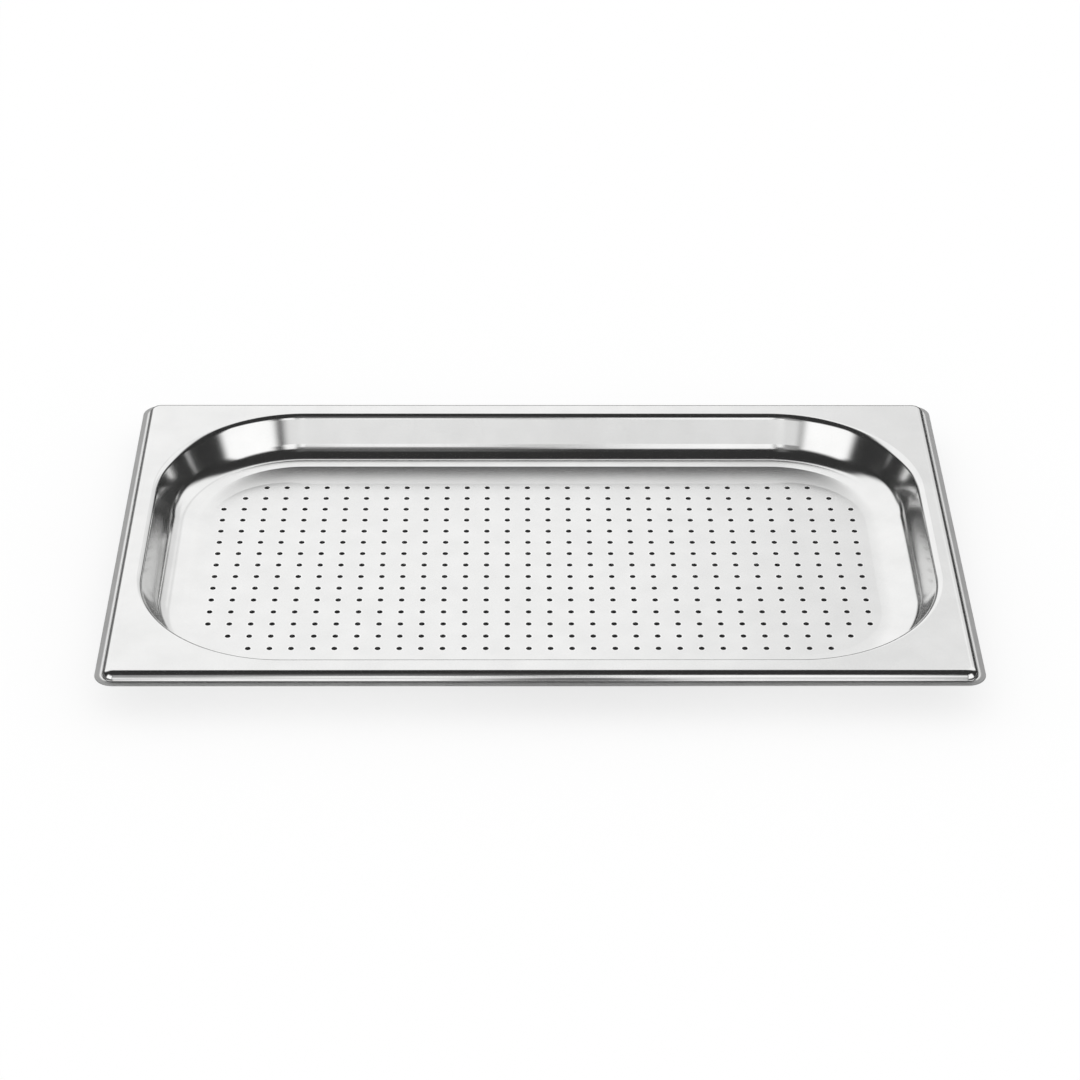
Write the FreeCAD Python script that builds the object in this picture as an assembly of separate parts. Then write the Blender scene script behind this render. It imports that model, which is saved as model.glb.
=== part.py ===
import FreeCAD, Part
import math
import os

# Perforated shallow tray, pressed from one stainless sheet.
# Frame: origin on the surface it stands on, below the middle of the tray; +X along its
# length, +Y to the rear, +Z up. Millimetres and degrees.
#
# The sheet is modelled in zones that meet face to face: the flat floor, four walls and four
# wall corners, four strips and four corners of the flange, and four turned-down rims.

Vector = FreeCAD.Vector

# Overall sizes
LENGTH = 530.0            # over the lips, along X
WIDTH = 325.0             # over the lips, along Y
HEIGHT = 28.0             # underside of the floor to the top of the flange
SHEET = 0.8               # sheet thickness

# Well. Radii are on the face that is seen from above.
WALL_DRAFT = 24.0         # slope of the wall from upright
FLOOR_BEND_R = 13.5       # between the floor and the wall
MOUTH_BEND_R = 5.0        # between the wall and the flange
MOUTH_CORNER_R = 95.4     # corner of the mouth in plan, where the flange ends

# Flange and rim
END_FLANGE = 4.85         # flat part, from the mouth bend to the rim bend, at the left and right
SIDE_FLANGE = 8.0         # the same in front and behind
RIM_DROP = 6.0            # top of the flange to the underside of the lip
RIM_DRAFT = 15.0          # slope of the rim's side from upright
RIM_BEND_R = 5.5          # between the flange and the rim's side, if the side is high enough
RIM_LEAST_SIDE = 0.2      # least height of the flat side below that bend
RIM_FOOT_R = 1.2          # between the rim's side and the lip
LIP_WIDTH = 3.2           # flat part of the lip
OUTER_CORNER_R = 12.0     # corner of the lip in plan

# Perforation: a square grid, mirrored about both centre lines
HOLE_D = 3.5
HOLE_PITCH = 13.26
HOLE_MARGIN = 16.0        # least distance from a hole's centre to the end of the flat floor

QUARTER = 90.0            # one corner's turn
DIAGONAL = math.sqrt(0.5)
Z_AXIS = Vector(0, 0, 1)


def bend_run(radius, turn):
    """How far a bend reaches sideways while it turns through an angle."""
    return radius * math.sin(math.radians(turn))


def bend_rise(radius, turn):
    """How far a bend climbs or drops while it turns through an angle."""
    return radius * (1 - math.cos(math.radians(turn)))


# Section of the wall, worked out from the floor's edge to the flange
WALL_TURN = QUARTER - WALL_DRAFT
WALL_HEIGHT = HEIGHT - SHEET - bend_rise(FLOOR_BEND_R, WALL_TURN) - bend_rise(MOUTH_BEND_R, WALL_TURN)
WALL_LENGTH = WALL_HEIGHT / math.cos(math.radians(WALL_DRAFT))
WALL_STEPS = [("bend", FLOOR_BEND_R, WALL_TURN), ("line", WALL_LENGTH), ("bend", MOUTH_BEND_R, -WALL_TURN)]
WALL_RUN = (bend_run(FLOOR_BEND_R, WALL_TURN) + WALL_LENGTH * math.sin(math.radians(WALL_DRAFT))
            + bend_run(MOUTH_BEND_R, WALL_TURN))

# Section of the rim, worked out from the flange to the lip's edge
RIM_TURN = QUARTER - RIM_DRAFT
RIM_SIDE = RIM_DROP - SHEET - bend_rise(RIM_FOOT_R, RIM_TURN)
SHOULDER_R = min(RIM_BEND_R, (RIM_SIDE - RIM_LEAST_SIDE) / bend_rise(1, RIM_TURN))
RIM_HEIGHT = RIM_SIDE - bend_rise(SHOULDER_R, RIM_TURN)
RIM_LENGTH = RIM_HEIGHT / math.cos(math.radians(RIM_DRAFT))
RIM_STEPS = [("bend", SHOULDER_R, -RIM_TURN), ("line", RIM_LENGTH), ("bend", RIM_FOOT_R, RIM_TURN),
             ("line", LIP_WIDTH)]
RIM_RUN = (bend_run(SHOULDER_R, RIM_TURN) + RIM_LENGTH * math.sin(math.radians(RIM_DRAFT))
           + bend_run(RIM_FOOT_R, RIM_TURN) + LIP_WIDTH)

# Plan sizes, from the outside in
BORDER_X = LENGTH / 2 - RIM_RUN           # where the flat flange turns down into the rim
BORDER_Y = WIDTH / 2 - RIM_RUN
BORDER_CORNER_R = OUTER_CORNER_R - RIM_RUN
RIM_AXIS_X = BORDER_X - BORDER_CORNER_R   # the axis that each corner of the rim turns about
RIM_AXIS_Y = BORDER_Y - BORDER_CORNER_R
MOUTH_X = BORDER_X - END_FLANGE           # where the flat flange turns down into the well
MOUTH_Y = BORDER_Y - SIDE_FLANGE
CORNER_X = MOUTH_X - MOUTH_CORNER_R       # the axis that each corner of the well turns about
CORNER_Y = MOUTH_Y - MOUTH_CORNER_R
FLOOR_X = MOUTH_X - WALL_RUN              # where the flat floor ends
FLOOR_Y = MOUTH_Y - WALL_RUN
FLOOR_CORNER_R = MOUTH_CORNER_R - WALL_RUN

# Name, quarter turns from +X, distances from the tray's middle to its mouth and to its rim,
# half the straight length of its wall and of its rim
SIDES = [("right", 0, MOUTH_X, BORDER_X, CORNER_Y, RIM_AXIS_Y),
         ("rear", 1, MOUTH_Y, BORDER_Y, CORNER_X, RIM_AXIS_X),
         ("left", 2, MOUTH_X, BORDER_X, CORNER_Y, RIM_AXIS_Y),
         ("front", 3, MOUTH_Y, BORDER_Y, CORNER_X, RIM_AXIS_X)]
# Name, quarter turns from the rear right corner, and the signs of X and Y there
CORNERS = [("rear_right", 0, 1, 1), ("rear_left", 1, -1, 1),
           ("front_left", 2, -1, -1), ("front_right", 3, 1, -1)]


def swing(point, centre, angle):
    """A point of the section plane turned about a centre, anticlockwise seen from -Y."""
    away = point - centre
    cosine = math.cos(math.radians(angle))
    sine = math.sin(math.radians(angle))
    turned = Vector(away.x * cosine - away.z * sine, 0, away.x * sine + away.z * cosine)
    return centre + turned


def section(x, z, steps):
    """Face of a strip of sheet in the XZ plane, whose upper side starts level at x, z.

    A step is a straight length, or a bend of a radius and a turn, which is upward if positive.
    """
    upper = Vector(x, 0, z)
    lower = Vector(x, 0, z - SHEET)
    heading = 0.0
    edges = [Part.LineSegment(lower, upper).toShape()]
    for kind, size, *turn in steps:
        if kind == "line":
            along = swing(Vector(size, 0, 0), Vector(0, 0, 0), heading)
            ends = [upper + along, lower + along]
            curves = [Part.LineSegment(upper, ends[0]), Part.LineSegment(lower, ends[1])]
        else:
            side = math.copysign(size, turn[0])
            centre = upper + swing(Vector(0, 0, side), Vector(0, 0, 0), heading)
            middles = [swing(point, centre, turn[0] / 2) for point in (upper, lower)]
            ends = [swing(point, centre, turn[0]) for point in (upper, lower)]
            curves = [Part.Arc(upper, middles[0], ends[0]), Part.Arc(lower, middles[1], ends[1])]
            heading += turn[0]
        edges += [curve.toShape() for curve in curves]
        upper, lower = ends
    edges.append(Part.LineSegment(upper, lower).toShape())
    return Part.Face(Part.Wire(Part.sortEdges(edges)[0]))


def placed(shape, quarters, x=0.0, y=0.0):
    """A copy turned by quarter turns about +Z, then moved."""
    move = FreeCAD.Matrix()
    move.rotateZ(math.radians(QUARTER * quarters))
    move.move(Vector(x, y, 0))
    return shape.transformed(move, copy=True)


def along_side(face, half_length):
    """A section drawn on the XZ plane, drawn out to both sides of it."""
    start = face.translated(Vector(0, -half_length, 0))
    return start.extrude(Vector(0, 2 * half_length, 0))


def rounded_outline(half_x, half_y, radius):
    """Closed rectangle with round corners, at the level of the floor's underside."""
    inner_x = half_x - radius
    inner_y = half_y - radius
    slant = radius * DIAGONAL
    edges = []
    for _, quarters, sign_x, sign_y in CORNERS:
        even = quarters % 2 == 0
        centre = Vector(sign_x * inner_x, sign_y * inner_y, 0)
        on_x = centre + Vector(sign_x * radius, 0, 0)
        on_y = centre + Vector(0, sign_y * radius, 0)
        middle = centre + Vector(sign_x * slant, sign_y * slant, 0)
        first, last = (on_x, on_y) if even else (on_y, on_x)
        if edges:
            edges.append(Part.LineSegment(previous, first).toShape())
        edges.append(Part.Arc(first, middle, last).toShape())
        previous = last
    edges.append(Part.LineSegment(previous, edges[0].Vertexes[0].Point).toShape())
    return Part.Wire(edges)


def from_floor_edge(x, y):
    """Distance from a point on the flat floor to the end of the flat."""
    past_x = abs(x) - CORNER_X
    past_y = abs(y) - CORNER_Y
    if past_x > 0 and past_y > 0:
        return FLOOR_CORNER_R - math.hypot(past_x, past_y)
    return min(FLOOR_X - abs(x), FLOOR_Y - abs(y))


def hole_centres():
    """Grid points with an even number of columns and an odd number of rows."""
    centres = []
    columns = int(FLOOR_X / HOLE_PITCH) + 1
    rows = int(FLOOR_Y / HOLE_PITCH) + 1
    for row in range(-rows, rows + 1):
        for column in range(-columns, columns):
            x = (column + 0.5) * HOLE_PITCH
            y = row * HOLE_PITCH
            if from_floor_edge(x, y) >= HOLE_MARGIN:
                centres.append(Vector(x, y, 0))
    return centres


def perforated_floor():
    holes = [Part.Wire(Part.makeCircle(HOLE_D / 2, centre, Z_AXIS)) for centre in hole_centres()]
    face = Part.Face([rounded_outline(FLOOR_X, FLOOR_Y, FLOOR_CORNER_R)] + holes)
    return face.extrude(Vector(0, 0, SHEET))


def wall(mouth, half_length):
    """Straight wall of the well with the bends at its foot and its top, facing +X."""
    return along_side(section(mouth - WALL_RUN, SHEET, WALL_STEPS), half_length)


def wall_corner():
    """Quarter turn of the same wall about the Z axis, from +X to +Y."""
    face = section(FLOOR_CORNER_R, SHEET, WALL_STEPS)
    return face.revolve(Vector(0, 0, 0), Z_AXIS, QUARTER)


def flange(mouth, border, half_length):
    """Straight strip of the flange, facing +X."""
    corner = Vector(mouth, -half_length, HEIGHT - SHEET)
    return Part.makeBox(border - mouth, 2 * half_length, SHEET, corner)


def flange_corner(sign_x, sign_y):
    """Flat corner of the flange, between the ends of two strips."""
    level = HEIGHT - SHEET
    inner_slant = MOUTH_CORNER_R * DIAGONAL
    outer_slant = BORDER_CORNER_R * DIAGONAL
    points = [(CORNER_X, MOUTH_Y), (CORNER_X, BORDER_Y), (RIM_AXIS_X, BORDER_Y),
              (RIM_AXIS_X + outer_slant, RIM_AXIS_Y + outer_slant), (BORDER_X, RIM_AXIS_Y),
              (BORDER_X, CORNER_Y), (MOUTH_X, CORNER_Y),
              (CORNER_X + inner_slant, CORNER_Y + inner_slant)]
    a, b, c, outer_middle, d, e, f, inner_middle = [Vector(sign_x * x, sign_y * y, level) for x, y in points]
    curves = [Part.LineSegment(a, b), Part.LineSegment(b, c), Part.Arc(c, outer_middle, d),
              Part.LineSegment(d, e), Part.LineSegment(e, f), Part.Arc(f, inner_middle, a)]
    return Part.Face(Part.Wire([curve.toShape() for curve in curves])).extrude(Vector(0, 0, SHEET))


def rim(border, half_straight):
    """Turned-down rim with half of the corner at each end, facing +X."""
    face = section(border, HEIGHT, RIM_STEPS)
    pieces = [along_side(face, half_straight)]
    for end in (-1, 1):
        y = end * half_straight
        axis = Vector(border - BORDER_CORNER_R, y, 0)
        pieces.append(face.translated(Vector(0, y, 0)).revolve(axis, Z_AXIS, end * QUARTER / 2))
    return pieces[0].fuse(pieces[1:]).removeSplitter().Solids[0]


def build():
    nodes = {"perforated_floor": perforated_floor()}
    for name, quarters, mouth, border, half_wall, half_rim in SIDES:
        nodes[name + "_wall"] = placed(wall(mouth, half_wall), quarters)
        nodes[name + "_flange"] = placed(flange(mouth, border, half_wall), quarters)
        nodes[name + "_rim"] = placed(rim(border, half_rim), quarters)
    for name, quarters, sign_x, sign_y in CORNERS:
        corner = placed(wall_corner(), quarters, sign_x * CORNER_X, sign_y * CORNER_Y)
        nodes[name + "_wall_corner"] = corner
        nodes[name + "_flange_corner"] = flange_corner(sign_x, sign_y)
    return nodes


os.makedirs("parts", exist_ok=True)
for node, shape in build().items():
    shape.exportStep("parts/" + node + ".step")
print(len(hole_centres()), "holes")
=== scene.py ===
import bmesh
import bpy
import math
import numpy as np
from mathutils import Matrix, Vector
from mathutils.geometry import delaunay_2d_cdt

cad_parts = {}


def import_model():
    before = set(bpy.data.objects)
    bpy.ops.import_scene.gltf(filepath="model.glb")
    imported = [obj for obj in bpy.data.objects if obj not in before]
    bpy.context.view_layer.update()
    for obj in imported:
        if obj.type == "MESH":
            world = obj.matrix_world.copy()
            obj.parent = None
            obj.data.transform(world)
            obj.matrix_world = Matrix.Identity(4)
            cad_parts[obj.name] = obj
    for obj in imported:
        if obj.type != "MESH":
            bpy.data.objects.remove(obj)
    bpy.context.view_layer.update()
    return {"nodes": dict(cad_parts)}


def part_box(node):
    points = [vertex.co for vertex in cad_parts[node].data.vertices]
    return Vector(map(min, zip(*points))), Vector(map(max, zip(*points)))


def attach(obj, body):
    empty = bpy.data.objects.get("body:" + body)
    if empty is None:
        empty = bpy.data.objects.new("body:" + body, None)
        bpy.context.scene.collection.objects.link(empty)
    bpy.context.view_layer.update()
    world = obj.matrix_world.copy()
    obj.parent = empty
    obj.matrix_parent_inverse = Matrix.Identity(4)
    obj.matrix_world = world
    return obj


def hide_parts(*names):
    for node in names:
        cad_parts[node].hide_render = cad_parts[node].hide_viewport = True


# Perforated shallow tray, pressed from one stainless sheet, on a pale floor.
# The whole sheet is one continuous mesh: its upper side, its underside, the holes and the
# rounded edge of the lip. Metres and radians, in the CAD frame.
#
# The light is plain white all round, but polished steel shows what stands round it. A tent and two
# cards that only reflections see take the place of the photographer's studio.

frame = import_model()

MM = 0.001
QUARTER = math.pi / 2

# ---- Sizes that the CAD model gives ----
floor_low, floor_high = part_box("perforated_floor")
rear_low, rear_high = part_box("rear_flange")
right_low, right_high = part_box("right_flange")
rim_low, rim_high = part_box("right_rim")

SHEET = floor_high.z - floor_low.z
TOP = rear_high.z                       # upper face of the flange
FLOOR_X = floor_high.x                  # where the flat floor ends
CORNER_X = rear_high.x                  # axis that a corner of the well turns about
CORNER_Y = right_high.y
MOUTH_X = right_low.x                   # where the flange turns down into the well
MOUTH_R = MOUTH_X - CORNER_X
BORDER_X = right_high.x                 # where the flange turns down into the rim
BORDER_Y = rear_high.y
FLOOR_R = FLOOR_X - CORNER_X
RIM_RUN = rim_high.x - BORDER_X
RIM_DROP = TOP - rim_low.z

# ---- Sizes of the pressing, as in the CAD model ----
WALL_DRAFT = math.radians(24)
WALL_TURN = QUARTER - WALL_DRAFT        # how far the wall is turned up from level
MOUTH_BEND_R = 5.0 * MM
RIM_DRAFT = math.radians(15)
RIM_BEND_R = 5.5 * MM
OUTER_CORNER_R = 12.0 * MM
HOLE_R = 1.75 * MM
HOLE_PITCH = 13.26 * MM
HOLE_MARGIN = 16.0 * MM                 # least distance from a hole's centre to the end of the flat

# ---- Fine shape that only the visible sheet has ----
FLOOR_BEND_R = 13.0 * MM                # 13.5 in the CAD model, which has no ramp below the bend
FOOT_SLOPE = math.radians(10.5)         # shallow ramp between the crease and the bend
FOOT_WIDTH = 6.0 * MM                   # along that slope
CREASE_WIDTH = 0.5 * MM
CREASE_SLOPE = math.radians(7)          # mean slope across the crease
RISE = 0.87 * MM                        # how far the floor's border climbs towards the crease
RISE_FADE = 1.5                         # the border's slope grows by e to this power on the way
RISE_REACH_SIDE = 9.8 * MM              # width of the border at the left and right
RISE_REACH_FRONT = 20.8 * MM            # and at the front and rear
RISE_TURN_START = 15                    # degrees round a corner at which it starts to widen
RISE_TURN_POWER = 1.5                   # 1 would widen it evenly from there
RIM_FOOT_R = 0.5 * MM                   # between the rim and the lip, 1.2 in the CAD model
LIP_EDGE_R = SHEET / 2                  # the cut edge of the lip is rounded off
HOLE_ROLL_R = 0.16 * MM                 # rounded edge that the punch leaves on top of a hole
HOLE_BREAK_R = 0.06 * MM                # broken edge on the underside
PAINTED_HALO_R = 2.7 * MM                    # how far the painted highlight round a hole reaches

# ---- How finely it is divided ----
CORNER_STEPS = 40
WELL_STEPS_X = 48
WELL_STEPS_Y = 20
RIM_CORNER_STEPS = 20
RIM_STEPS_X = 72
RIM_STEPS_Y = 44
RISE_STEPS = 12
FOOT_STEPS = 4
WALL_STEPS = 16
RIM_SIDE_STEPS = 4
LIP_STEPS = 3
LIP_EDGE_STEPS = 8
HOLE_STEPS = 20
HOLE_ROLL_STEPS = 4
BEND_STEP = math.radians(4)


# ---- Section of the sheet ----

def bend_rise(radius, turn):
    """How far a bend climbs or drops while it turns through an angle."""
    return radius * (1 - math.cos(turn))


def straight(length, count):
    return [("line", length / count)] * count


def bend(radius, turn):
    """A bend in short steps, upward if the turn is positive."""
    count = max(2, math.ceil(abs(turn) / BEND_STEP))
    return [("bend", radius, turn / count)] * count


def section(steps, slope=0.0):
    """Points along the upper face from its start: outward, up, and the slope there."""
    out, up = 0.0, 0.0
    points = [(out, up, slope)]
    for kind, size, *turn in steps:
        if kind == "line":
            out += size * math.cos(slope)
            up += size * math.sin(slope)
        else:
            side = math.copysign(size, turn[0])
            out += side * (math.sin(slope + turn[0]) - math.sin(slope))
            up += side * (math.cos(slope) - math.cos(slope + turn[0]))
            slope += turn[0]
        points.append((out, up, slope))
    return np.array(points)


def wall_section():
    """From the outer side of the crease, over the ramp and up the wall, to the flange."""
    foot = straight(FOOT_WIDTH, FOOT_STEPS) + bend(FLOOR_BEND_R, WALL_TURN - FOOT_SLOPE)
    rest = TOP - SHEET - RISE - CREASE_WIDTH * math.tan(CREASE_SLOPE)
    height = rest - section(foot, FOOT_SLOPE)[-1][1] - bend_rise(MOUTH_BEND_R, WALL_TURN)
    length = height / math.cos(WALL_DRAFT)
    wall = straight(length, WALL_STEPS) + bend(MOUTH_BEND_R, -WALL_TURN)
    return section(foot + wall, FOOT_SLOPE)


def rim_section():
    """From the flange, down the rim, to the lip's rounded edge."""
    turn = QUARTER - RIM_DRAFT
    height = RIM_DROP - SHEET - bend_rise(RIM_BEND_R, turn) - bend_rise(RIM_FOOT_R, turn)
    length = height / math.cos(RIM_DRAFT)
    side = bend(RIM_BEND_R, -turn) + straight(length, RIM_SIDE_STEPS) + bend(RIM_FOOT_R, turn)
    lip = RIM_RUN - LIP_EDGE_R - section(side)[-1][0]
    return section(side + straight(lip, LIP_STEPS))


# ---- Tracks that a section is swept along ----

def track(corner_x, corner_y, corner_steps, steps_x, steps_y):
    """Closed run of anchor points and outward directions round a rectangle, anticlockwise."""
    corners = [(corner_x, corner_y), (-corner_x, corner_y), (-corner_x, -corner_y), (corner_x, -corner_y)]
    anchors = []
    directions = []
    for quarter in range(4):
        here = np.array(corners[quarter])
        after = np.array(corners[(quarter + 1) % 4])
        for step in range(corner_steps + 1):
            angle = QUARTER * (quarter + step / corner_steps)
            anchors.append(here)
            directions.append((math.cos(angle), math.sin(angle)))
        count = steps_x if quarter % 2 == 0 else steps_y
        angle = QUARTER * (quarter + 1)
        for step in range(1, count):
            anchors.append(here + (after - here) * step / count)
            directions.append((math.cos(angle), math.sin(angle)))
    return np.array(anchors), np.array(directions)


class Shell:
    """Vertices, their normals and the faces between them.

    Each vertex also has two marks from 0 to 1: how much painted highlight it has round a hole, and
    how much it is darkened: dull cut metal on the cut edges, painted shade on the lip.
    """

    def __init__(self):
        self.points = []
        self.normals = []
        self.faces = []
        self.painted_halo = []
        self.dull_cut_and_painted_shade = []

    def ring(self, plan, height, lean_plan, lean_up, painted_halo=0.0, dull_cut_and_painted_shade=0.0):
        """Adds one closed ring of vertices and returns their numbers."""
        start = len(self.points)
        for (x, y), (nx, ny) in zip(plan, lean_plan):
            self.points.append((x, y, height))
            self.normals.append((nx, ny, lean_up))
            self.painted_halo.append(painted_halo)
            self.dull_cut_and_painted_shade.append(dull_cut_and_painted_shade)
        return list(range(start, len(self.points)))

    def join(self, inner, outer, upward=True):
        """Quads between two rings of as many vertices."""
        count = len(inner)
        for i in range(count):
            j = (i + 1) % count
            quad = (inner[i], outer[i], outer[j], inner[j])
            self.faces.append(quad if upward else quad[::-1])

    def fill(self, rings, lower_rings):
        """Flat triangles from the first ring to the others, which are holes in it.

        The same triangles join the lower rings, facing down.
        """
        flat = [number for ring in rings for number in ring]
        lower = [number for ring in lower_rings for number in ring]
        owner = [which for which, ring in enumerate(rings) for _ in ring]
        edges = []
        start = 0
        for ring in rings:
            count = len(ring)
            edges += [(start + i, start + (i + 1) % count) for i in range(count)]
            start += count
        plan = [Vector(self.points[number][:2]) for number in flat]
        only_inside = 1
        closest = 1e-7
        found = delaunay_2d_cdt(plan, edges, [], only_inside, closest)
        original = [sources[0] for sources in found[3]]
        for face in found[2]:
            corners = [original[number] for number in face]
            owners = {owner[number] for number in corners}
            if len(owners) == 1 and owners != {0}:
                continue
            a, b, c = [plan[number] for number in corners]
            if (b - a).cross(c - a) < 0:
                corners.reverse()
            self.faces.append(tuple(flat[number] for number in corners))
            self.faces.append(tuple(lower[number] for number in reversed(corners)))


def sweep(shell, anchors, directions, start_radius, start_height, points, painted_shade_last=0):
    """Rings of the upper face and the underside along a section. Returns both lists of rings."""
    upper_rings = []
    lower_rings = []
    first_painted_shade = len(points) - painted_shade_last
    for step, (out, up, slope) in enumerate(points):
        dull_cut_and_painted_shade = float(step >= first_painted_shade)
        lean = math.sin(slope)
        rise = math.cos(slope)
        radius = start_radius + out
        height = start_height + up
        upper_plan = anchors + directions * radius
        lower_plan = anchors + directions * (radius + SHEET * lean)
        upper_rings.append(shell.ring(upper_plan, height, directions * -lean, rise, dull_cut_and_painted_shade=dull_cut_and_painted_shade))
        lower = shell.ring(lower_plan, height - SHEET * rise, directions * lean, -rise, dull_cut_and_painted_shade=dull_cut_and_painted_shade)
        lower_rings.append(lower)
    return upper_rings, lower_rings


def floor_border(shell, anchors, directions, crease_r):
    """Rings from the level floor to the crease, and the level floor's own ring first."""
    turned = np.degrees(np.arctan2(np.abs(directions[:, 1]), np.abs(directions[:, 0])))
    share = np.clip((turned - RISE_TURN_START) / (90 - RISE_TURN_START), 0, 1) ** RISE_TURN_POWER
    reach = RISE_REACH_SIDE + (RISE_REACH_FRONT - RISE_REACH_SIDE) * share
    scale = RISE / (1 - math.exp(-RISE_FADE))
    upper_rings = []
    lower_rings = []
    for step in range(RISE_STEPS + 1):
        left = 1 - step / RISE_STEPS
        height = SHEET + scale * (math.exp(-RISE_FADE * left) - math.exp(-RISE_FADE))
        lean = scale * RISE_FADE * math.exp(-RISE_FADE * left) / reach if step else 0 * reach
        plan = anchors + directions * (crease_r - reach * left)[:, None]
        slant = directions * lean[:, None]
        upper_rings.append(shell.ring(plan, height, -slant, 1.0))
        lower_rings.append(shell.ring(plan + slant * SHEET, height - SHEET, slant, -1.0))
    return upper_rings, lower_rings


def join_all(shell, upper_rings, lower_rings):
    for inner, outer in zip(upper_rings, upper_rings[1:]):
        shell.join(inner, outer)
    for inner, outer in zip(lower_rings, lower_rings[1:]):
        shell.join(inner, outer, upward=False)


def lip_edge(shell, anchors, directions, radius, height, upper, lower):
    """Half-round edge from the lip's upper face to its underside."""
    rings = [upper]
    for step in range(1, LIP_EDGE_STEPS):
        angle = QUARTER - math.pi * step / LIP_EDGE_STEPS
        plan = anchors + directions * (radius + LIP_EDGE_R * math.cos(angle))
        level = height - LIP_EDGE_R + LIP_EDGE_R * math.sin(angle)
        rings.append(shell.ring(plan, level, directions * math.cos(angle), math.sin(angle), dull_cut_and_painted_shade=1.0))
    rings.append(lower)
    for inner, outer in zip(rings, rings[1:]):
        shell.join(inner, outer)


# ---- Holes ----

def from_floor_edge(x, y):
    """Distance from a point on the flat floor to the end of the flat."""
    past_x = abs(x) - CORNER_X
    past_y = abs(y) - CORNER_Y
    if past_x > 0 and past_y > 0:
        return FLOOR_R - math.hypot(past_x, past_y)
    return min(FLOOR_X - abs(x), CORNER_Y + FLOOR_R - abs(y))


def hole_centres():
    """Grid points with an even number of columns and an odd number of rows."""
    columns = int(FLOOR_X / HOLE_PITCH) + 1
    rows = int((CORNER_Y + FLOOR_R) / HOLE_PITCH) + 1
    centres = []
    for row in range(-rows, rows + 1):
        for column in range(-columns, columns):
            x = (column + 0.5) * HOLE_PITCH
            y = row * HOLE_PITCH
            if from_floor_edge(x, y) >= HOLE_MARGIN:
                centres.append((x, y))
    return centres


def hole_rings():
    """Radius, height, outward and upward parts of the normal, and the two marks.

    They go from the floor round a hole, over its rolled edge and down to its underside.
    """
    # The painted highlight round a hole fades in from the first ring and is full on the rolled edge.
    rings = [(PAINTED_HALO_R, SHEET, 0.0, 1.0, 0.0, 0.0)]
    for step in range(HOLE_ROLL_STEPS + 1):
        angle = QUARTER * step / HOLE_ROLL_STEPS
        out = HOLE_R + HOLE_ROLL_R * (1 - math.sin(angle))
        up = SHEET - HOLE_ROLL_R * (1 - math.cos(angle))
        dull_cut_and_painted_shade = float(step == HOLE_ROLL_STEPS)
        rings.append((out, up, -math.sin(angle), math.cos(angle), 1.0, dull_cut_and_painted_shade))
    rings.append((HOLE_R, HOLE_BREAK_R, -1.0, 0.0, 0.0, 1.0))
    rings.append((HOLE_R + HOLE_BREAK_R, 0.0, 0.0, -1.0, 0.0, 0.0))
    return rings


def hole(shell, x, y):
    """One punched hole. Returns its top ring and its bottom ring."""
    turns = [2 * math.pi * step / HOLE_STEPS for step in range(HOLE_STEPS)]
    around = np.array([(math.cos(turn), math.sin(turn)) for turn in turns])
    centre = np.array((x, y))
    rings = []
    for radius, height, outward, upward, *marks in hole_rings():
        rings.append(shell.ring(centre + around * radius, height, around * outward, upward, *marks))
    for outer, inner in zip(rings, rings[1:]):
        shell.join(inner, outer)
    return rings[0], rings[-1]


# ---- The tray ----

def well(shell):
    """From the level floor's edge to the flange. Returns the rings of the upper and lower side."""
    anchors, directions = track(CORNER_X, CORNER_Y, CORNER_STEPS, WELL_STEPS_X, WELL_STEPS_Y)
    points = wall_section()
    ramp_r = MOUTH_R - points[-1][0]
    ramp_height = TOP - points[-1][1]
    upper, lower = floor_border(shell, anchors, directions, ramp_r - CREASE_WIDTH)
    wall_upper, wall_lower = sweep(shell, anchors, directions, ramp_r, ramp_height, points)
    upper += wall_upper
    lower += wall_lower
    join_all(shell, upper, lower)
    return upper, lower


def tray_shell():
    """The whole sheet: well, holes, level floor, rim, flange and the lip's edge."""
    shell = Shell()
    upper, lower = well(shell)
    holes = [hole(shell, x, y) for x, y in hole_centres()]
    tops = [top for top, _ in holes]
    bottoms = [bottom for _, bottom in holes]
    shell.fill([upper[0]] + tops, [lower[0]] + bottoms)

    border_r = OUTER_CORNER_R - RIM_RUN
    corner = (BORDER_X - border_r, BORDER_Y - border_r)
    rim_track = track(*corner, RIM_CORNER_STEPS, RIM_STEPS_X, RIM_STEPS_Y)
    rim_points = rim_section()
    # The lip's last points are darkened as painted shade.
    rim_upper, rim_lower = sweep(shell, *rim_track, border_r, TOP, rim_points, LIP_STEPS)
    join_all(shell, rim_upper, rim_lower)
    shell.fill([rim_upper[0], upper[-1]], [rim_lower[0], lower[-1]])

    lip_out, lip_up, _ = rim_points[-1]
    lip_edge(shell, *rim_track, border_r + lip_out, TOP + lip_up, rim_upper[-1], rim_lower[-1])
    return shell


def mesh_object(name, shell, material):
    mesh = bpy.data.meshes.new(name)
    mesh.from_pydata(shell.points, [], shell.faces)
    mesh.polygons.foreach_set("use_smooth", [True] * len(mesh.polygons))
    mesh.materials.append(material)
    mesh.normals_split_custom_set_from_vertices([Vector(normal).normalized() for normal in shell.normals])
    for mark, values in (("painted_halo", shell.painted_halo), ("dull_cut_and_painted_shade", shell.dull_cut_and_painted_shade)):
        mesh.attributes.new(mark, "FLOAT", "POINT").data.foreach_set("value", values)
    piece = bpy.data.objects.new(name, mesh)
    bpy.context.scene.collection.objects.link(piece)
    return piece


# ---- Building shader nodes ----

def new_material(name):
    """A material with nothing in it yet, its node tree and the socket for its surface."""
    material = bpy.data.materials.new(name)
    material.use_nodes = True
    nodes = material.node_tree.nodes
    nodes.clear()
    output = nodes.new("ShaderNodeOutputMaterial")
    return material, material.node_tree, output.inputs["Surface"]


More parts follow.
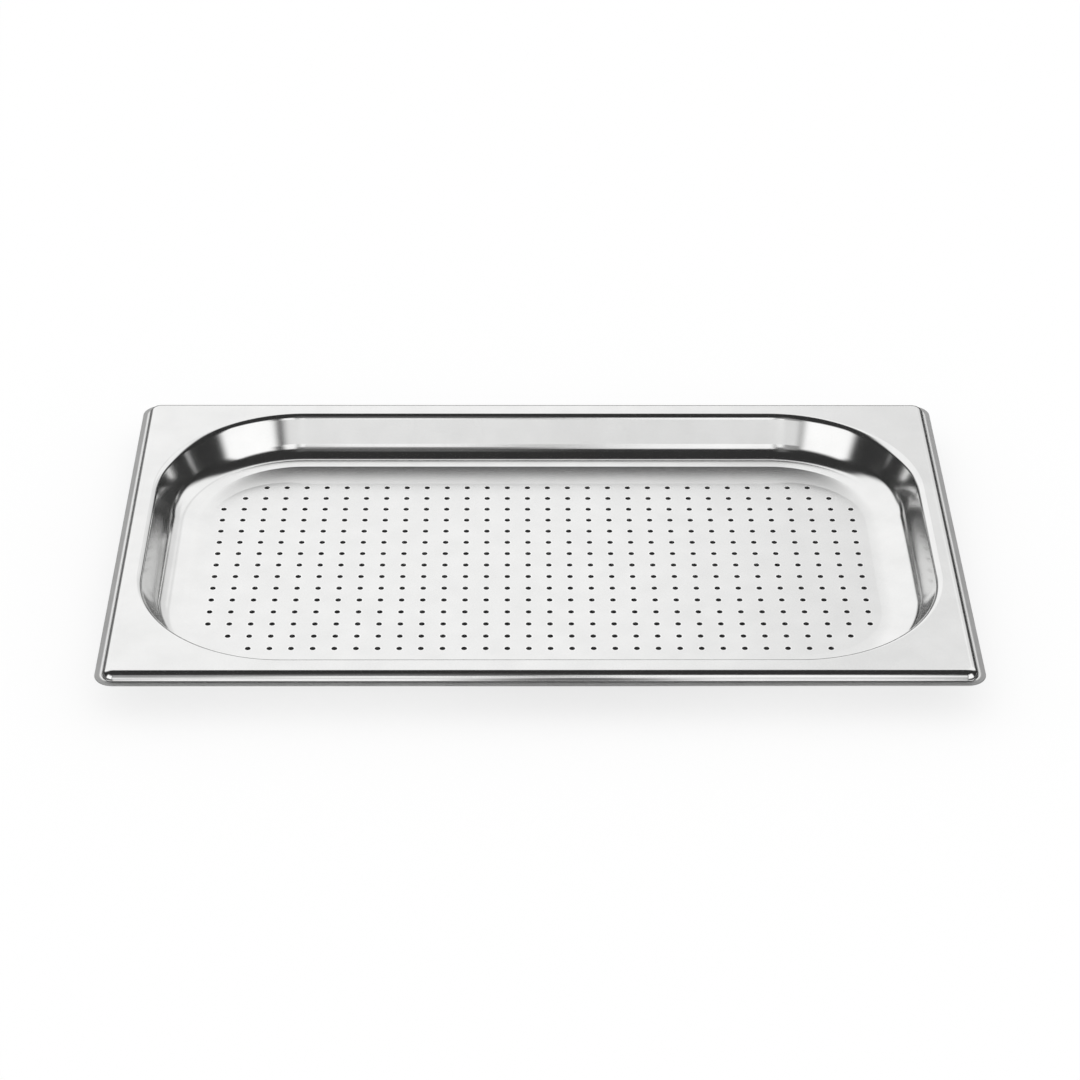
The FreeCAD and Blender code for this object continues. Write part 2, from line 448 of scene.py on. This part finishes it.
def feed(tree, value, slot):
    """Gives a slot a number, or links it to another node's socket."""
    if isinstance(value, bpy.types.NodeSocket):
        tree.links.new(value, slot)
    else:
        slot.default_value = value


def math_node(tree, operation, *values):
    """A Math node whose inputs are sockets or numbers. Returns its result."""
    node = tree.nodes.new("ShaderNodeMath")
    node.operation = operation
    for slot, value in zip(node.inputs, values):
        feed(tree, value, slot)
    return node.outputs[0]


def ramp(tree, value, start, end):
    """0 before start and 1 after end, smoothly. Where end comes first it falls instead."""
    node = tree.nodes.new("ShaderNodeMapRange")
    node.interpolation_type = "SMOOTHSTEP"
    tree.links.new(value, node.inputs["Value"])
    low, high = sorted((start, end))
    node.inputs["From Min"].default_value = low
    node.inputs["From Max"].default_value = high
    node.inputs["To Min"].default_value = 0.0 if start < end else 1.0
    node.inputs["To Max"].default_value = 1.0 if start < end else 0.0
    return node.outputs["Result"]


def band(tree, value, low, high, soft):
    """1 between two values and 0 outside them, with soft edges."""
    rising = ramp(tree, value, low - soft, low + soft)
    falling = ramp(tree, value, high + soft, high - soft)
    return math_node(tree, "MULTIPLY", rising, falling)


def mixed(tree, start, end, share):
    """Number that goes from one value to another as a share goes from 0 to 1."""
    node = tree.nodes.new("ShaderNodeMapRange")
    node.inputs["To Min"].default_value = start
    node.inputs["To Max"].default_value = end
    tree.links.new(share, node.inputs["Value"])
    return node.outputs["Result"]


def around_zero(tree, depth, share):
    """Number that goes from minus to plus a depth as a share goes from 0 to 1."""
    return mixed(tree, -depth, depth, share)


def attribute(tree, name):
    node = tree.nodes.new("ShaderNodeAttribute")
    node.attribute_name = name
    return node.outputs["Fac"]


def noise(tree, place, size, detail):
    """Cloudy noise from 0 to 1, with clouds of about the given size."""
    node = tree.nodes.new("ShaderNodeTexNoise")
    node.inputs["Scale"].default_value = 1 / size
    node.inputs["Detail"].default_value = detail
    tree.links.new(place, node.inputs["Vector"])
    return node.outputs["Fac"]


def geometry(tree, name):
    """One of the surface's own vectors, such as its position or its normal."""
    return tree.nodes.new("ShaderNodeNewGeometry").outputs[name]


def axes(tree, vector):
    """The X, Y and Z parts of a vector."""
    node = tree.nodes.new("ShaderNodeSeparateXYZ")
    tree.links.new(vector, node.inputs["Vector"])
    return node.outputs


def emission(tree, strength=1.0):
    node = tree.nodes.new("ShaderNodeEmission")
    feed(tree, strength, node.inputs["Strength"])
    return node.outputs["Emission"]


def diffuse(tree, colour):
    node = tree.nodes.new("ShaderNodeBsdfDiffuse")
    node.inputs["Color"].default_value = colour
    return node.outputs["BSDF"]


def mixed_shaders(tree, share, first, second):
    """One shader where the share is 0 and another where it is 1."""
    node = tree.nodes.new("ShaderNodeMixShader")
    feed(tree, share, node.inputs["Fac"])
    tree.links.new(first, node.inputs[1])
    tree.links.new(second, node.inputs[2])
    return node.outputs["Shader"]


# ---- Stainless steel ----

STEEL_GREY = 0.82
BLUE_SHARE = 0.994                      # blue as a share of red and green: a trace warm
CLOUD_SIZE = 22 * MM
CLOUD_DETAIL = 2.0
CLOUD_DEPTH = 0.05                      # how far the clouds make the grey lighter or darker
GRAIN_SIZE = 0.9 * MM
GRAIN_DETAIL = 3.0
GRAIN_DEPTH = 0.03                      # the same for the fine grain
GRAIN_ROUGHNESS = 0.02                  # how far the grain makes it rougher or smoother
GRAIN_BUMP = 0.10
GRAIN_HEIGHT = 0.02 * MM
PAINTED_HALO_GLEAM = 0.16                    # how much brighter the painted highlight round each hole is
CUT_AND_PAINTED_SHADE = 0.28                       # how much darker the cut edges are, and the lip, where it is painted shade
FLAT_ROUGHNESS = 0.20
BEND_ROUGHNESS = 0.125
TRIM_ROUGHNESS = 0.5
BEND_NORMAL_Z = 0.988                   # below this upward part of its normal, a face is a bend
FLAT_NORMAL_Z = 0.998                   # and above this one it is a flat


def steel_grey(tree, clouds, grain, painted_halo, dull_cut_and_painted_shade):
    """How bright the metal is."""
    clouded = around_zero(tree, CLOUD_DEPTH, clouds)
    grey = math_node(tree, "ADD", clouded, around_zero(tree, GRAIN_DEPTH, grain))
    grey = math_node(tree, "ADD", grey, STEEL_GREY)
    # Painted highlight round the holes.
    grey = math_node(tree, "ADD", grey, mixed(tree, 0.0, PAINTED_HALO_GLEAM, painted_halo))
    # Darker on the dull cut edges, and on the lip as painted shade.
    return math_node(tree, "SUBTRACT", grey, mixed(tree, 0.0, CUT_AND_PAINTED_SHADE, dull_cut_and_painted_shade))


def steel_colour(tree, grey):
    """The metal's colour at a brightness."""
    colour = tree.nodes.new("ShaderNodeCombineColor")
    for channel in ("Red", "Green"):
        tree.links.new(grey, colour.inputs[channel])
    tree.links.new(math_node(tree, "MULTIPLY", grey, BLUE_SHARE), colour.inputs["Blue"])
    return colour.outputs["Color"]


def steel_roughness(tree, grain, dull_cut_and_painted_shade):
    """Smoothest in the bends, dull on the trimmed edges."""
    _, _, upward = axes(tree, geometry(tree, "Normal"))
    level = ramp(tree, upward, BEND_NORMAL_Z, FLAT_NORMAL_Z)
    rough = mixed(tree, BEND_ROUGHNESS, FLAT_ROUGHNESS, level)
    rough = math_node(tree, "ADD", rough, around_zero(tree, GRAIN_ROUGHNESS, grain))
    duller = mixed(tree, 0.0, TRIM_ROUGHNESS - BEND_ROUGHNESS, dull_cut_and_painted_shade)
    return math_node(tree, "ADD", rough, duller)


def stainless_steel():
    """Bright satin sheet: cloudy, finely grained, polished in the bends, with a painted highlight round
    the holes and painted shade on the lip.
    """
    material, tree, surface = new_material("stainless_steel")
    where = geometry(tree, "Position")
    clouds = noise(tree, where, CLOUD_SIZE, CLOUD_DETAIL)
    grain = noise(tree, where, GRAIN_SIZE, GRAIN_DETAIL)
    painted_halo = attribute(tree, "painted_halo")
    dull_cut_and_painted_shade = attribute(tree, "dull_cut_and_painted_shade")
    grey = steel_grey(tree, clouds, grain, painted_halo, dull_cut_and_painted_shade)

    bump = tree.nodes.new("ShaderNodeBump")
    bump.inputs["Strength"].default_value = GRAIN_BUMP
    bump.inputs["Distance"].default_value = GRAIN_HEIGHT
    tree.links.new(grain, bump.inputs["Height"])

    metal = tree.nodes.new("ShaderNodeBsdfPrincipled")
    metal.inputs["Metallic"].default_value = 1.0
    tree.links.new(steel_colour(tree, grey), metal.inputs["Base Color"])
    tree.links.new(steel_roughness(tree, grain, dull_cut_and_painted_shade), metal.inputs["Roughness"])
    tree.links.new(bump.outputs["Normal"], metal.inputs["Normal"])
    tree.links.new(metal.outputs["BSDF"], surface)
    return material


# ---- Pieces of the stage ----

WHITE = (1, 1, 1, 1)
SHEET_GAP = 0.2 * MM                    # between the sheets that lie on each other below the tray


def glowing_material(name):
    """A new material whose glow isn't sampled as a lamp: only rays that reach it see it."""
    material, tree, surface = new_material(name)
    material.cycles.emission_sampling = "NONE"
    return material, tree, surface


def stage_piece(mesh, material):
    """Puts a mesh in the scene under the mesh's name, with the given material."""
    mesh.materials.append(material)
    piece = bpy.data.objects.new(mesh.name, mesh)
    bpy.context.scene.collection.objects.link(piece)
    return piece


def card(name, corners, material):
    """One flat piece of the stage, with the given corners."""
    mesh = bpy.data.meshes.new(name)
    mesh.from_pydata(corners, [], [tuple(range(len(corners)))])
    return stage_piece(mesh, material)


def level_square(name, half, height, material):
    """A square card that lies level, centred below the tray."""
    plan = [(-half, -half), (half, -half), (half, half), (-half, half)]
    return card(name, [(x, y, height) for x, y in plan], material)


def seen_in_reflections_only(piece):
    for rays in ("camera", "diffuse", "shadow", "transmission", "volume_scatter"):
        setattr(piece, "visible_" + rays, False)


# ---- Tent: what the steel reflects of the room ----

TENT_RADIUS = 5.0
TENT_SEGMENTS = 96
TENT_RINGS = 48
DEEP_SHADE = 0.036                      # how bright the darkest cloth still is

# Angles on the tent are in degrees. An azimuth is 0 straight behind the tray, or straight in front
# of it, and grows towards +X. An elevation is 0 at the horizon.
BACKDROP_AZIMUTH = -4.5                 # middle of the opening behind the tray
BACKDROP_ELEVATION = 34.0
BACKDROP_HALF_WIDTH = 69.5
BACKDROP_HALF_HEIGHT = 26.0
BACKDROP_POWER = 3.0                    # 2 would make the opening an ellipse, more squares it
BACKDROP_FADE_START = 0.65              # sum of the powers where its soft edge starts, and ends
BACKDROP_FADE_END = 1.35
BACKDROP_GLOW = 1.02

# Zones of the tent, placed for what the photograph's reflections show: left, right, bottom
# and top, how soft the sides are and the ends, and then a light's strength or the share of light
# that a shade takes away.
LIGHTS_IN_FRONT = [
    (23, 66, 26, 46, 4, 6, 1.14),       # large light on the right, its upper part
    (19, 66, -90, 26, 4, 6, 1.14),      # its lower part, which reaches further in
    (-66, -23, -90, 38, 4, 9, 1.14),    # large light on the left
    (1, 14, 20, 49, 1.5, 3, 1.12),      # middle light, right half
    (-7, 1, 20, 39, 1.5, 4, 1.12),      # middle light, left half, which is lower
    (-12, 1, 39, 66, 3, 5, 0.11),       # faint light above the left half
    (-20, 12, -90, 20, 4, 4, 0.83),     # pale ground in front
    (-20, -7, 18, 48, 4, 4, 0.30),      # grey beside the middle light
]
LIGHTS_BEHIND = [
    (-42, -19, -4, 7, 5, 4, 0.2),       # low grey on the left
    (77.5, 82.5, 1.5, 4, 1, 1, 0.6),    # small light low down, far to the right
    (-79, -75, 0, 3, 1.5, 1, 0.5),      # and one far to the left
]
SHADES_BEHIND = [
    (40, 100, -90, 16, 5, 4, 0.9),      # low side of the opening on the right
    (-100, -42, -90, 16, 5, 4, 0.9),    # and on the left
    (16, 38, 4, 27, 5, 4, 0.22),        # faint shade right of the middle
]
SHADES_IN_FRONT = [
    (-0.4, 2.2, 21, 60, 1.2, 3, 0.8),   # dark upright in the middle light
]
STRIPE_LEFT = 8                         # faint shade from top to bottom, behind the tray
STRIPE_RIGHT = 16
STRIPE_SOFT = 5
STRIPE_SHADE = 0.2


def in_degrees(tree, angle):
    return math_node(tree, "MULTIPLY", angle, math.degrees(1))


def off_middle(tree, angle, middle, half):
    """Distance of an angle from the opening's middle, as a share of half its size, to a power."""
    share = math_node(tree, "DIVIDE", math_node(tree, "SUBTRACT", angle, middle), half)
    return math_node(tree, "POWER", math_node(tree, "ABSOLUTE", share), BACKDROP_POWER)


def backdrop_opening(tree, azimuth, elevation):
    """The opening behind the tray: wide, with round corners. 0 to 1."""
    across = off_middle(tree, azimuth, BACKDROP_AZIMUTH, BACKDROP_HALF_WIDTH)
    upward = off_middle(tree, elevation, BACKDROP_ELEVATION, BACKDROP_HALF_HEIGHT)
    reach = math_node(tree, "ADD", across, upward)
    return ramp(tree, reach, BACKDROP_FADE_END, BACKDROP_FADE_START)


def zone(tree, azimuth, elevation, left, right, bottom, top, soft_sides, soft_ends):
    """1 inside a soft-edged zone of the tent and 0 outside it."""
    sides = band(tree, azimuth, left, right, soft_sides)
    return math_node(tree, "MULTIPLY", sides, band(tree, elevation, bottom, top, soft_ends))


def dimmed(tree, glow, share, part):
    """A glow with a share of it taken away in one part."""
    kept = math_node(tree, "SUBTRACT", 1.0, math_node(tree, "MULTIPLY", part, share))
    return math_node(tree, "MULTIPLY", glow, kept)


def with_lights(tree, glow, azimuth, elevation, lights):
    for *edges, strength in lights:
        light = math_node(tree, "MULTIPLY", zone(tree, azimuth, elevation, *edges), strength)
        glow = math_node(tree, "ADD", light, glow)
    return glow


def with_shades(tree, glow, azimuth, elevation, shades):
    for *edges, share in shades:
        glow = dimmed(tree, glow, share, zone(tree, azimuth, elevation, *edges))
    return glow


def tent_material():
    """Dark cloth with an opening to the pale backdrop behind the tray and lights in front."""
    material, tree, surface = glowing_material("tent_cloth")
    x, y, z = axes(tree, geometry(tree, "Position"))
    forward = math_node(tree, "MULTIPLY", y, -1.0)
    behind = in_degrees(tree, math_node(tree, "ARCTAN2", x, y))
    ahead = in_degrees(tree, math_node(tree, "ARCTAN2", x, forward))
    level = math_node(tree, "ARCSINE", math_node(tree, "DIVIDE", z, TENT_RADIUS))
    level = in_degrees(tree, level)

    glow = math_node(tree, "MULTIPLY", backdrop_opening(tree, behind, level), BACKDROP_GLOW)
    glow = with_shades(tree, glow, behind, level, SHADES_BEHIND)
    glow = with_lights(tree, glow, ahead, level, LIGHTS_IN_FRONT)
    glow = with_lights(tree, glow, behind, level, LIGHTS_BEHIND)
    glow = with_shades(tree, glow, ahead, level, SHADES_IN_FRONT)
    stripe = band(tree, behind, STRIPE_LEFT, STRIPE_RIGHT, STRIPE_SOFT)
    glow = dimmed(tree, glow, STRIPE_SHADE, stripe)
    glow = math_node(tree, "ADD", glow, DEEP_SHADE)
    tree.links.new(emission(tree, glow), surface)
    return material


def tent():
    """Round surround that only reflections see."""
    mesh = bpy.data.meshes.new("studio_tent")
    form = bmesh.new()
    bmesh.ops.create_uvsphere(form, u_segments=TENT_SEGMENTS, v_segments=TENT_RINGS, radius=TENT_RADIUS)
    form.to_mesh(mesh)
    form.free()
    seen_in_reflections_only(stage_piece(mesh, tent_material()))


# ---- Floor, and the painted shade that shows through the holes ----

FLOOR_HALF = 40.0
FLOOR_GLOW = 0.75                       # share of the floor's white that is its own glow
PAINTED_SHADE_INSET = 12.0 * MM                   # from the end of the flat floor
PAINTED_SHADE_GREY = 0.04


def pale_floor_material():
    """White floor that shows mostly its own even glow, so that the tray's shadow stays faint."""
    material, tree, surface = glowing_material("floor_white")
    white = mixed_shaders(tree, FLOOR_GLOW, diffuse(tree, WHITE), emission(tree))
    tree.links.new(white, surface)
    return material


def pale_floor():
    level_square("floor", FLOOR_HALF, -3 * SHEET_GAP, pale_floor_material())


# Flat dark grey: painted shade below the tray, seen through the holes.
def painted_shade_under_holes_material():
    material, tree, surface = new_material("painted_shade_grey")
    tree.links.new(diffuse(tree, (PAINTED_SHADE_GREY, PAINTED_SHADE_GREY, PAINTED_SHADE_GREY, 1)), surface)
    return material


def painted_shade_under_holes():
    """Dark sheet under the holes, a little smaller than the flat floor: painted shade below the tray."""
    anchors, directions = track(CORNER_X, CORNER_Y, CORNER_STEPS, 1, 1)
    plan = anchors + directions * (FLOOR_R - PAINTED_SHADE_INSET)
    card("painted_shade_under_holes", [(x, y, -SHEET_GAP) for x, y in plan], painted_shade_under_holes_material())


# ---- Cards near the tray, which only reflections see ----

TABLE_HALF = 1.5
TABLE_LEFT = 0.12                       # glow on the left, on the right and in front
TABLE_RIGHT = 0.05
TABLE_FRONT = 0.95
TABLE_TURN = 0.1                        # X to either side at which left or right is reached
FRONT_START = -0.13                     # Y where the pale front starts and where it is full
FRONT_FULL = -0.17
FRONT_HALF = 0.30                       # how far the pale front goes to the left and right
FRONT_SOFT = 0.04
DIP_LEFT = -0.045                       # darker part in the middle of the pale front
DIP_RIGHT = 0.090
DIP_SOFT = 0.045
DIP_SHADE = 0.78

CARD_Y = -0.36
CARD_LEFT = -0.08
CARD_RIGHT = 0.14
CARD_HEIGHT = 0.10
CARD_GLOW = 0.16
COVER_LEFT = -0.020                     # it is opaque between these, and clear towards its edges
COVER_RIGHT = 0.075
COVER_SOFT = 0.045
COVER_TOP = 0.065
CLEAR_TOP = 0.095


def table_material():
    """What the rims see of the table: dark at the sides and behind, pale in front of the tray."""
    material, tree, surface = glowing_material("table_reflection")
    x, y, _ = axes(tree, geometry(tree, "Position"))
    in_front = ramp(tree, y, FRONT_START, FRONT_FULL)
    pale = math_node(tree, "MULTIPLY", in_front, band(tree, x, -FRONT_HALF, FRONT_HALF, FRONT_SOFT))
    pale = dimmed(tree, pale, DIP_SHADE, band(tree, x, DIP_LEFT, DIP_RIGHT, DIP_SOFT))
    aside = mixed(tree, TABLE_LEFT, TABLE_RIGHT, ramp(tree, x, -TABLE_TURN, TABLE_TURN))
    glow = math_node(tree, "ADD", math_node(tree, "MULTIPLY", pale, TABLE_FRONT), aside)
    tree.links.new(emission(tree, glow), surface)
    return material


def table_card():
    table = level_square("table_card", TABLE_HALF, -2 * SHEET_GAP, table_material())
    seen_in_reflections_only(table)


def front_card_material():
    """Grey with soft edges, for the front rim to reflect."""
    material, tree, surface = glowing_material("front_card")
    x, _, z = axes(tree, geometry(tree, "Position"))
    across = band(tree, x, COVER_LEFT, COVER_RIGHT, COVER_SOFT)
    cover = math_node(tree, "MULTIPLY", across, ramp(tree, z, CLEAR_TOP, COVER_TOP))
    clear = tree.nodes.new("ShaderNodeBsdfTransparent").outputs["BSDF"]
    tree.links.new(mixed_shaders(tree, cover, clear, emission(tree, CARD_GLOW)), surface)
    return material


def front_card():
    """Upright card in front of the tray."""
    outline = [(CARD_LEFT, 0.0), (CARD_RIGHT, 0.0), (CARD_RIGHT, CARD_HEIGHT), (CARD_LEFT, CARD_HEIGHT)]
    corners = [(x, CARD_Y, z) for x, z in outline]
    seen_in_reflections_only(card("front_card", corners, front_card_material()))


# ---- World and camera ----

VIEW_LENS = 105.23                      # mm, for a sensor 36 mm wide
SENSOR_WIDTH = 36
CLIP_START = 0.05
CLIP_END = 100
VIEW_ELEVATION = math.radians(33.01)
VIEW_TURN = math.radians(-0.70)
VIEW_ROLL = math.radians(0.38)
VIEW_DISTANCE = 2.0
VIEW_RIGHT = 0.8 * MM
VIEW_UP = -6.9 * MM


def world():
    """Plain white light all round. The steel's reflections see the tent in its place."""
    studio = bpy.data.worlds.new("studio")
    bpy.context.scene.world = studio
    studio.use_nodes = True
    background = studio.node_tree.nodes["Background"]
    background.inputs["Color"].default_value = WHITE
    background.inputs["Strength"].default_value = 1.0


def camera():
    data = bpy.data.cameras.new("camera")
    data.sensor_width = SENSOR_WIDTH
    data.lens = VIEW_LENS
    data.clip_start = CLIP_START
    data.clip_end = CLIP_END
    viewpoint = bpy.data.objects.new("camera", data)
    bpy.context.scene.collection.objects.link(viewpoint)
    bpy.context.scene.camera = viewpoint
    aim = Matrix.Translation(Vector((0, 0, TOP)))
    turn = Matrix.Rotation(VIEW_TURN, 4, "Z")
    tilt = Matrix.Rotation(QUARTER - VIEW_ELEVATION, 4, "X")
    roll = Matrix.Rotation(VIEW_ROLL, 4, "Z")
    back = Matrix.Translation(Vector((VIEW_RIGHT, VIEW_UP, VIEW_DISTANCE)))
    viewpoint.matrix_world = aim @ turn @ tilt @ roll @ back


camera()

tray = mesh_object("tray_sheet", tray_shell(), stainless_steel())
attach(tray, "root")
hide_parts(*frame["nodes"])

world()
tent()
pale_floor()
painted_shade_under_holes()
table_card()
front_card()

bpy.context.scene.view_settings.view_transform = "Standard"
